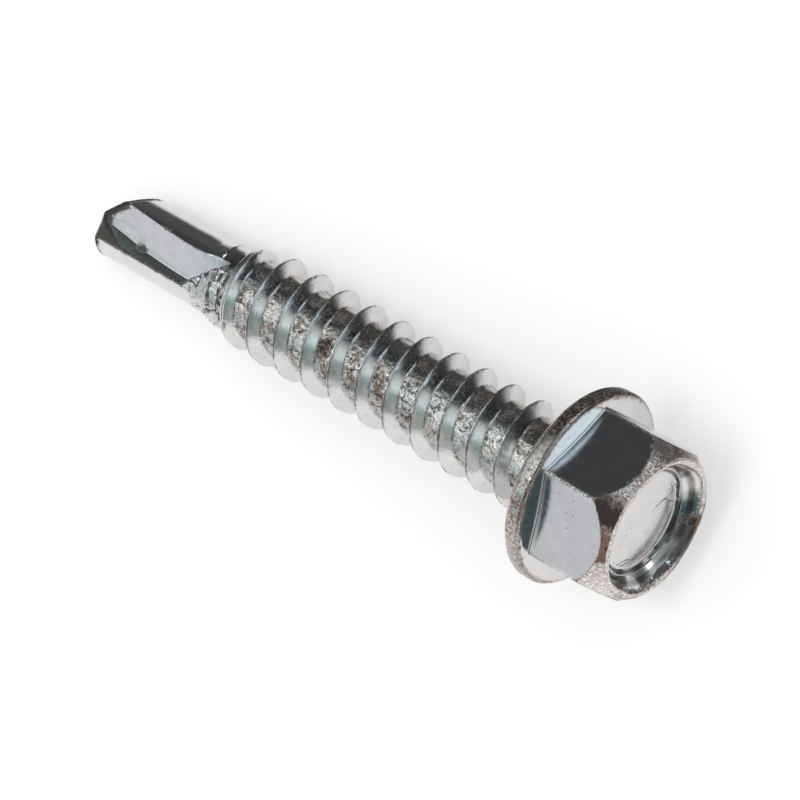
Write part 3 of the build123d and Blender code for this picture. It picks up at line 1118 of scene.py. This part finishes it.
def make_skin(name, thread, head, point, resting_direction):
    """The screw's whole skin, worn and lying, as one closed mesh."""
    skin = Skin()
    drill_last, drill_directions = add_drill(skin, thread, point)
    thread_first, thread_last, thread_directions = add_thread(skin, thread, point)
    head_first, head_directions = add_head(skin, thread, head)
    skin.stitch(drill_last, drill_directions, thread_first, thread_directions)
    skin.stitch(thread_last, thread_directions, head_first, head_directions)
    upright = np.concatenate(skin.points)
    wear = Wear(upright, np.concatenate(skin.zones), thread, point, head)
    attributes = {label: np.clip(mask, 0.0, 1.0) for label, mask in wear.masks.items()}
    attributes["depth"] = wear.masks["depth"]
    attributes["upright"] = upright
    matrix = np.array(lying_matrix(resting_direction))
    placed = upright @ matrix[:3, :3].T + matrix[:3, 3]
    mesh = clean_mesh(name, placed, skin.faces, attributes)
    displace(mesh)
    mesh.set_sharp_from_angle(angle=math.radians(SHARP_ANGLE))
    return mesh


# ---- Materials ----------------------------------------------------------------------------

FLOAT = "NodeSocketFloat"
VECTOR = "NodeSocketVector"
CRACK = (  # x and y of both ends of each stretch of the crack in the indentation's floor
    ((0.63, -0.58), (1.46, -0.97)), ((1.46, -0.97), (1.56, -1.90)),
    ((1.46, -0.97), (1.96, -1.40)), ((1.96, -1.40), (2.25, -0.85)),
    ((-1.90, -0.90), (-2.35, -0.20)), ((-1.62, -1.55), (-2.42, -0.45)),
)
CRACK_WIDTH = 0.032
# how much of the plating each kind of dirt hides where its mask is full; the black also carries
# painted shade
WARM_COVER = 0.85
PIT_COVER = 0.70
BROWN_COVER = 0.90
BLACK_COVER = 0.88
GLOSS_SPREAD = 0.10  # how much the roughness of the plating varies
DIRT_GLOSS = 0.55  # roughness of rust, black dirt and painted shade
DIRT_METAL_LOSS = 0.92  # how much less metallic they are than the plating


class Nodes:
    """Adds and links nodes in one tree."""

    def __init__(self, tree):
        self.tree = tree
        self.tree.nodes.clear()

    def add(self, kind, values=None, **settings):
        node = self.tree.nodes.new(kind)
        for name, value in settings.items():
            setattr(node, name, value)
        for socket, value in (values or {}).items():
            if isinstance(value, bpy.types.NodeSocket):
                self.tree.links.new(value, node.inputs[socket])
            else:
                node.inputs[socket].default_value = value
        return node

    def math(self, operation, first, second=0.0, third=0.0):
        node = self.add("ShaderNodeMath", {0: first, 1: second, 2: third}, operation=operation)
        return node.outputs[0]

    def vector(self, operation, values, output="Vector"):
        node = self.add("ShaderNodeVectorMath", values, operation=operation)
        return node.outputs[output]

    def noise(self, position, size, **settings):
        """Layered noise whose lumps are about as large as size."""
        values = {"Vector": position, "Scale": self.math("DIVIDE", 1.0, size), **settings}
        return self.add("ShaderNodeTexNoise", values).outputs["Fac"]

    def mix(self, factor, first, second):
        node = self.add("ShaderNodeMix", {0: factor, 6: first, 7: second}, data_type="RGBA")
        return node.outputs[2]

    def mix_value(self, factor, first, second):
        return self.add("ShaderNodeMix", {0: factor, 2: first, 3: second}).outputs[0]

    def ramp(self, value, low, high):
        """0 at low and 1 at high, smooth between them."""
        node = self.add(
            "ShaderNodeMapRange", {"Value": value, "From Min": low, "From Max": high},
            interpolation_type="SMOOTHSTEP",
        )
        return node.outputs["Result"]

    def link(self, source, target):
        self.tree.links.new(source, target)


def new_group(name, inputs, output):
    """An empty shader node group that works on a position: its tree, inputs and output."""
    tree = bpy.data.node_groups.new(name, "ShaderNodeTree")
    tree.interface.new_socket("Position", in_out="INPUT", socket_type=VECTOR)
    for label, default in inputs.items():
        kind = VECTOR if default is None else FLOAT
        socket = tree.interface.new_socket(label, in_out="INPUT", socket_type=kind)
        if default is not None:
            socket.default_value = default
    tree.interface.new_socket(output, in_out="OUTPUT", socket_type=FLOAT)
    nodes = Nodes(tree)
    given = nodes.add("NodeGroupInput").outputs
    return nodes, given, nodes.add("NodeGroupOutput").inputs[output]


def grit_group():
    """Fine lumps in the plating, for gloss and bump."""
    nodes, given, result = new_group("grit", {"Size": 0.1, "Detail": 3.0}, "Value")
    noise = nodes.noise(given["Position"], given["Size"], Detail=given["Detail"], Roughness=0.62)
    nodes.link(nodes.ramp(noise, 0.25, 0.75), result)
    return nodes.tree


def specks_group():
    """Small scattered pits, denser where Density is higher."""
    inputs = {"Size": 0.2, "Density": 0.2, "Radius": 0.2}
    nodes, given, result = new_group("specks", inputs, "Mask")
    scale = nodes.math("DIVIDE", 1.0, given["Size"])
    cells = nodes.add("ShaderNodeTexVoronoi", {"Vector": given["Position"], "Scale": scale})
    chance = nodes.add("ShaderNodeSeparateColor", {0: cells.outputs["Color"]})
    chosen = nodes.math("LESS_THAN", chance.outputs[0], given["Density"])
    reach = nodes.math("MULTIPLY", given["Radius"], chance.outputs[1])
    dot = nodes.math("LESS_THAN", cells.outputs["Distance"], reach)
    nodes.link(nodes.math("MULTIPLY", chosen, dot), result)
    return nodes.tree


def ragged_group():
    """A soft mask from the skin with its edge broken up by fine grain."""
    inputs = {"Mask": 0.0, "Size": 0.1, "Raggedness": 0.8}
    nodes, given, result = new_group("ragged", inputs, "Mask")
    noise = nodes.noise(given["Position"], given["Size"], Detail=5.0, Roughness=0.72)
    centred = nodes.math("SUBTRACT", noise, 0.5)
    shift = nodes.math("MULTIPLY_ADD", centred, given["Raggedness"], given["Mask"])
    solid = nodes.ramp(shift, 0.32, 0.66)
    present = nodes.ramp(given["Mask"], 0.02, 0.25)
    nodes.link(nodes.math("MULTIPLY", solid, present), result)
    return nodes.tree


def streaks_group():
    """Fine lines that run round the axis, as rolling leaves them."""
    nodes, given, result = new_group("streaks", {"Size": 0.05}, "Value")
    parts = nodes.add("ShaderNodeSeparateXYZ", {0: given["Position"]}).outputs
    flat = nodes.add("ShaderNodeCombineXYZ", {0: parts["X"], 1: parts["Y"]}).outputs[0]
    radius = nodes.vector("LENGTH", {0: flat}, "Value")
    turn = nodes.math("ARCTAN2", parts["Y"], parts["X"])
    stretch = 0.30  # the smaller, the longer the lines
    along = nodes.math("MULTIPLY", turn, stretch)
    wound = nodes.add("ShaderNodeCombineXYZ", {0: along, 1: radius, 2: parts["Z"]}).outputs[0]
    noise = nodes.noise(wound, given["Size"], Detail=2.0)
    nodes.link(nodes.ramp(noise, 0.58, 0.72), result)
    return nodes.tree


def crack_group():
    """A thin wavering line between two points."""
    inputs = {"From": None, "To": None, "Width": 0.02}
    nodes, given, result = new_group("crack", inputs, "Mask")
    noise = nodes.add(
        "ShaderNodeTexNoise", {"Vector": given["Position"], "Scale": 3.5, "Detail": 3.0}
    )
    waver = nodes.vector("SUBTRACT", {0: noise.outputs["Color"], 1: (0.5, 0.5, 0.5)})
    waver = nodes.vector("MULTIPLY", {0: waver, 1: (0.30, 0.30, 0.0)})
    place = nodes.vector("ADD", {0: given["Position"], 1: waver})
    span = nodes.vector("SUBTRACT", {0: given["To"], 1: given["From"]})
    offset = nodes.vector("SUBTRACT", {0: place, 1: given["From"]})
    reached = nodes.vector("DOT_PRODUCT", {0: offset, 1: span}, "Value")
    whole = nodes.vector("DOT_PRODUCT", {0: span, 1: span}, "Value")
    share = nodes.add("ShaderNodeClamp", {0: nodes.math("DIVIDE", reached, whole)}).outputs[0]
    nearest = nodes.vector("SCALE", {0: span, "Scale": share})
    gap = nodes.vector("LENGTH", {0: nodes.vector("SUBTRACT", {0: offset, 1: nearest})}, "Value")
    nodes.link(nodes.ramp(nodes.math("DIVIDE", gap, given["Width"]), 1.0, 0.5), result)
    return nodes.tree


def zinc_material(finish, head):
    """Bright zinc plating, dulled, pitted, rusted and blackened by the skin's masks."""
    material = bpy.data.materials.new("zinc_plating")
    material.use_nodes = True
    nodes = Nodes(material.node_tree)
    trees = (grit_group(), specks_group(), ragged_group(), streaks_group(), crack_group())
    groups = {tree.name: tree for tree in trees}

    def mask(label):
        return nodes.add("ShaderNodeAttribute", attribute_name=label).outputs["Fac"]

    def place(group, **values):
        values = {"Position": position, **values}
        return nodes.add("ShaderNodeGroup", values, node_tree=groups[group]).outputs[0]

    def shade(value, factor=1.0):
        return (*(part * factor for part in value), 1.0)

    def tones(pattern, value, darkest, lightest):
        """A colour that varies with a pattern between two multiples of itself."""
        return nodes.mix(pattern, shade(value, darkest), shade(value, lightest))

    position = nodes.add("ShaderNodeAttribute", attribute_name="upright").outputs["Vector"]
    worn = mask("worn")
    brown = place("ragged", Mask=mask("brown"), Size=0.16, Raggedness=2.1)
    black = place("ragged", Mask=mask("black"), Size=0.13, Raggedness=2.0)
    warm = place("ragged", Mask=mask("warm"), Size=0.35, Raggedness=1.2)
    cloud = place("grit", Size=0.9, Detail=3.0)
    coarse = place("grit", Size=0.19, Detail=3.0)
    fine = place("grit", Size=0.055, Detail=3.0)
    streaks = place("streaks", Size=0.034)
    pits = place("specks", Size=0.21, Density=0.38, Radius=0.20)
    worn_pits = nodes.math("MULTIPLY", place("specks", Size=0.13, Density=0.45, Radius=0.40), worn)
    pitted = nodes.math("MAXIMUM", pits, worn_pits)
    floor_height = head.head_height - head.floor_depth
    for start, end in CRACK:
        ends = {"From": (*start, floor_height), "To": (*end, floor_height)}
        black = nodes.math("MAXIMUM", black, place("crack", Width=CRACK_WIDTH, **ends))

    base = tones(cloud, finish.zinc, 0.97, 1.04)
    # the filmed and the black layers also carry painted shade
    covers = (
        (warm, WARM_COVER, tones(coarse, finish.dull_zinc, 0.64, 1.34)),
        (mask("film"), 1.0, shade(finish.film)),
        (pitted, PIT_COVER, shade(finish.soot_and_shade)),
        (brown, BROWN_COVER, tones(fine, finish.brown, 0.30, 1.6)),
        (black, BLACK_COVER, shade(finish.soot_and_shade)),
    )
    for where, cover, over in covers:
        base = nodes.mix(nodes.math("MULTIPLY", where, cover), base, over)

    gloss = nodes.mix_value(worn, finish.gloss, finish.worn_gloss)
    spread = nodes.math("MULTIPLY_ADD", coarse, GLOSS_SPREAD, -GLOSS_SPREAD / 2)
    gloss = nodes.math("ADD", gloss, spread)
    # where brown or black lies, painted shade included, the plating is rougher and less metallic
    dirt = nodes.math("MAXIMUM", brown, black)
    gloss = nodes.mix_value(dirt, gloss, DIRT_GLOSS)
    metal = nodes.math("MULTIPLY_ADD", dirt, -DIRT_METAL_LOSS, 1.0)

    heights = (  # each pattern and how far it stands out, in millimetres
        (coarse, nodes.math("MULTIPLY_ADD", worn, 0.050, 0.0010)),
        (fine, nodes.math("MULTIPLY_ADD", worn, 0.005, 0.0006)),
        (streaks, nodes.math("MULTIPLY", mask("rolled"), 0.0055)),
        (pitted, -0.006),
    )
    relief = 0.0
    for pattern, height in heights:
        relief = nodes.math("MULTIPLY_ADD", pattern, height, relief)
    bump = nodes.add("ShaderNodeBump", {"Height": relief, "Distance": MM, "Strength": 1.0})
    shader = nodes.add("ShaderNodeBsdfPrincipled", {
        "Base Color": base, "Roughness": gloss, "Metallic": metal, "Normal": bump.outputs[0],
        "Specular IOR Level": 0.2,
    })
    output = nodes.add("ShaderNodeOutputMaterial")
    nodes.link(shader.outputs[0], output.inputs["Surface"])
    return material


# ---- Studio -------------------------------------------------------------------------------

# the camera's axes in the upright screw's frame, and the bearing face's centre seen from it
VIEW_RIGHT = (0.5001, -0.4451, 0.7428)
VIEW_DOWN = (-0.8660, -0.2570, 0.4290)
VIEW_AHEAD = (0.0, -0.8578, -0.5140)
BEARING_IN_VIEW = (8.2148, 3.8558, 318.2955)  # right, down and ahead, in millimetres
NEAREST_SEEN = 0.01  # this and the lamp's lengths are in metres
LAMP_SIZE = 0.16
LAMP_DISTANCE, LAMP_AZIMUTH, LAMP_HEIGHT = 0.06, -100.0, 0.42
FLAG_EDGES = (5.0, 8.5)  # behind the screw the metal sees the floor fade to dark, millimetres
FLAG_COLOUR = (0.086, 0.089, 0.085)
FLOOR_GLOW = 0.22
EVEN_LIGHT = 0.80
SKY_LEVEL = (0.30, 0.34, 0.33)
SKY_PANELS = (  # azimuth, elevation, inner and outer half angle, colour
    (105.0, 8.0, 38.0, 54.0, (0.050, 0.054, 0.056)),
    (126.0, 2.0, 5.0, 16.0, (0.095, 0.097, 0.092)),
    (152.0, 54.0, 5.0, 15.0, (1.15, 1.20, 1.13)),
    (157.0, 35.0, 7.0, 12.0, (0.100, 0.130, 0.130)),
    (-163.0, 54.0, 10.0, 25.0, (1.28, 1.55, 1.55)),
    (-175.0, 38.0, 8.0, 15.0, (1.22, 1.29, 1.35)),
    (-122.0, 43.0, 8.0, 20.0, (0.41, 0.65, 0.58)),
    (-30.0, 40.0, 18.0, 32.0, (0.070, 0.075, 0.080)),
    (-25.0, 60.0, 8.0, 20.0, (0.070, 0.055, 0.045)),
    (-95.0, 6.0, 26.0, 38.0, (0.86, 0.88, 0.84)),
    (-88.0, 33.0, 12.0, 17.0, (0.066, 0.100, 0.110)),
    (-62.0, 29.0, 9.0, 17.0, (0.055, 0.100, 0.105)),
    (-46.0, 18.0, 8.0, 14.0, (0.072, 0.120, 0.130)),
    (-138.0, 17.0, 9.0, 26.0, (0.79, 0.81, 0.87)),
    (20.0, 12.0, 10.0, 26.0, (0.70, 0.82, 0.90)),
    (43.0, 21.0, 8.0, 14.0, (1.45, 1.68, 1.85)),
    (63.0, 18.0, 5.0, 9.0, (2.60, 2.60, 2.50)),
    (79.0, 37.0, 5.0, 9.0, (1.00, 1.30, 1.45)),
    (95.0, 36.0, 4.0, 9.0, (0.52, 0.72, 0.84)),
)


def floor_material(studio_group):
    """A pale floor that keeps the shadow, white to the camera, dark far behind to the metal."""
    material = bpy.data.materials.new("floor_white")
    material.use_nodes = True
    nodes = Nodes(material.node_tree)
    path = nodes.add("ShaderNodeLightPath").outputs
    place = nodes.add("ShaderNodeTexCoord").outputs["Object"]
    place = nodes.add("ShaderNodeSeparateXYZ", {0: place})
    behind = nodes.ramp(place.outputs["Y"], *(MM * edge for edge in FLAG_EDGES))
    mirrored = nodes.math("MAXIMUM", path["Is Glossy Ray"], path["Is Transmission Ray"])
    seen = nodes.math("MAXIMUM", path["Is Camera Ray"], mirrored)
    pale = nodes.add("ShaderNodeBsdfPrincipled", {
        "Base Color": (*studio_group.floor_colour, 1.0), "Roughness": 0.9,
        "Specular IOR Level": 0.0,
    })
    glow = nodes.add("ShaderNodeEmission", {
        "Color": (1.0, 1.0, 1.0, 1.0), "Strength": nodes.math("MULTIPLY", seen, FLOOR_GLOW),
    })
    both = nodes.add("ShaderNodeAddShader", {0: pale.outputs[0], 1: glow.outputs[0]})
    flag = nodes.add("ShaderNodeEmission", {"Color": (*FLAG_COLOUR, 1.0), "Strength": 1.0})
    covered = nodes.math("MULTIPLY", mirrored, behind)
    mixed = nodes.add("ShaderNodeMixShader", {0: covered, 1: both.outputs[0], 2: flag.outputs[0]})
    output = nodes.add("ShaderNodeOutputMaterial")
    nodes.link(mixed.outputs[0], output.inputs["Surface"])
    return material


# ---- Operators ----------------------------------------------------------------------------

class SCREW_OT_build(bpy.types.Operator):
    """Build the screw's worn skin in place of the plain solid"""

    bl_idname = "screw.build"
    bl_label = "Screw"

    def execute(self, context):
        thread, head, point, studio = settings(context)
        mesh = make_skin("screw_skin", thread, head, point, studio.resting_direction)
        mesh.materials.append(zinc_material(context.scene.screw_finish, head))
        screw = bpy.data.objects.new("screw_skin", mesh)
        context.scene.collection.objects.link(screw)
        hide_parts("screw")
        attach(screw, "root")
        return {"FINISHED"}


class SCREW_OT_studio(bpy.types.Operator):
    """Set up the floor, the light and the camera"""

    bl_idname = "screw.studio"
    bl_label = "Studio"

    def execute(self, context):
        scene = context.scene
        studio = measures(scene.screw_studio)
        lying = lying_matrix(studio.resting_direction)
        self.add_camera(scene, lying, studio)
        self.add_floor(scene, studio)
        self.add_lamp(scene, studio)
        self.add_sky(scene, studio)
        scene.view_settings.view_transform = "Standard"
        return {"FINISHED"}

    def add_camera(self, scene, lying, studio):
        turn = lying.to_3x3().normalized()
        right, down, ahead = (turn @ Vector(axis) for axis in (VIEW_RIGHT, VIEW_DOWN, VIEW_AHEAD))
        to_right, to_down, to_ahead = BEARING_IN_VIEW
        data = bpy.data.cameras.new("camera")
        data.lens = studio.lens
        data.clip_start = NEAREST_SEEN
        camera = bpy.data.objects.new("camera", data)
        scene.collection.objects.link(camera)
        pose = Matrix((right, -down, -ahead)).transposed().to_4x4()
        to_bearing = right * to_right + down * to_down + ahead * to_ahead
        pose.translation = lying.translation - to_bearing * MM
        camera.matrix_world = pose
        scene.camera = camera

    def add_floor(self, scene, studio):
        mesh = bpy.data.meshes.new("floor")
        reach = studio.floor_reach * MM
        signs = ((-1, -1), (1, -1), (1, 1), (-1, 1))
        mesh.from_pydata([(reach * x, reach * y, 0.0) for x, y in signs], [], [(0, 1, 2, 3)])
        mesh.materials.append(floor_material(scene.screw_studio))
        floor = bpy.data.objects.new("floor", mesh)
        scene.collection.objects.link(floor)

    def add_lamp(self, scene, studio):
        data = bpy.data.lights.new("overhead", "AREA")
        data.shape = "DISK"
        data.size = LAMP_SIZE
        data.energy = studio.key_power
        lamp = bpy.data.objects.new("overhead", data)
        lamp.location = (*polar(LAMP_DISTANCE, LAMP_AZIMUTH), LAMP_HEIGHT)
        lamp.rotation_euler = Vector(lamp.location).to_track_quat("Z", "Y").to_euler()
        scene.collection.objects.link(lamp)

    def add_sky(self, scene, studio):
        """Soft panels that only the metal mirrors, and an even light for all the rest."""
        world = bpy.data.worlds.new("studio")
        scene.world = world
        world.use_nodes = True
        nodes = Nodes(world.node_tree)
        direction = nodes.add("ShaderNodeTexCoord").outputs["Generated"]
        level = (*SKY_LEVEL, 1.0)
        for azimuth, elevation, inner, outer, value in SKY_PANELS:
            towards = (*polar(cosine(elevation), azimuth), sine(elevation))
            near = nodes.vector("DOT_PRODUCT", {0: direction, 1: towards}, "Value")
            part = nodes.ramp(near, cosine(outer), cosine(inner))
            level = nodes.mix(part, level, (*value, 1.0))
        path = nodes.add("ShaderNodeLightPath").outputs
        level = nodes.mix(path["Is Glossy Ray"], (*(EVEN_LIGHT,) * 3, 1.0), level)
        level = nodes.mix(path["Is Camera Ray"], level, (1.0, 1.0, 1.0, 1.0))
        background = nodes.add("ShaderNodeBackground", {"Color": level, "Strength": 1.0})
        output = nodes.add("ShaderNodeOutputWorld")
        nodes.link(background.outputs[0], output.inputs["Surface"])


class SCREW_PT_sidebar(bpy.types.Panel):
    """Lists the steps and their settings"""

    bl_idname = "SCREW_PT_sidebar"
    bl_label = "Drilling Screw"
    bl_space_type = "VIEW_3D"
    bl_region_type = "UI"
    bl_category = "Screw"

    def draw(self, context):
        layout = self.layout
        layout.operator(SCREW_OT_build.bl_idname)
        layout.operator(SCREW_OT_studio.bl_idname)
        for name in GROUPS:
            box = layout.box()
            box.label(text=name.replace("screw_", "").capitalize())
            group = getattr(context.scene, name)
            for prop in group.bl_rna.properties:
                if prop.identifier not in ("rna_type", "name"):
                    box.prop(group, prop.identifier)


GROUPS = {
    "screw_thread": SCREW_PG_thread,
    "screw_head": SCREW_PG_head,
    "screw_point": SCREW_PG_point,
    "screw_finish": SCREW_PG_finish,
    "screw_studio": SCREW_PG_studio,
}
CLASSES = (*GROUPS.values(), SCREW_OT_build, SCREW_OT_studio, SCREW_PT_sidebar)


def register():
    for kind in CLASSES:
        bpy.utils.register_class(kind)
    for name, kind in GROUPS.items():
        setattr(bpy.types.Scene, name, PointerProperty(type=kind))


def unregister():
    for name in GROUPS:
        delattr(bpy.types.Scene, name)
    for kind in reversed(CLASSES):
        bpy.utils.unregister_class(kind)


def main():
    register()
    bpy.ops.screw.build()
    bpy.ops.screw.studio()


if __name__ == "__main__":
    main()
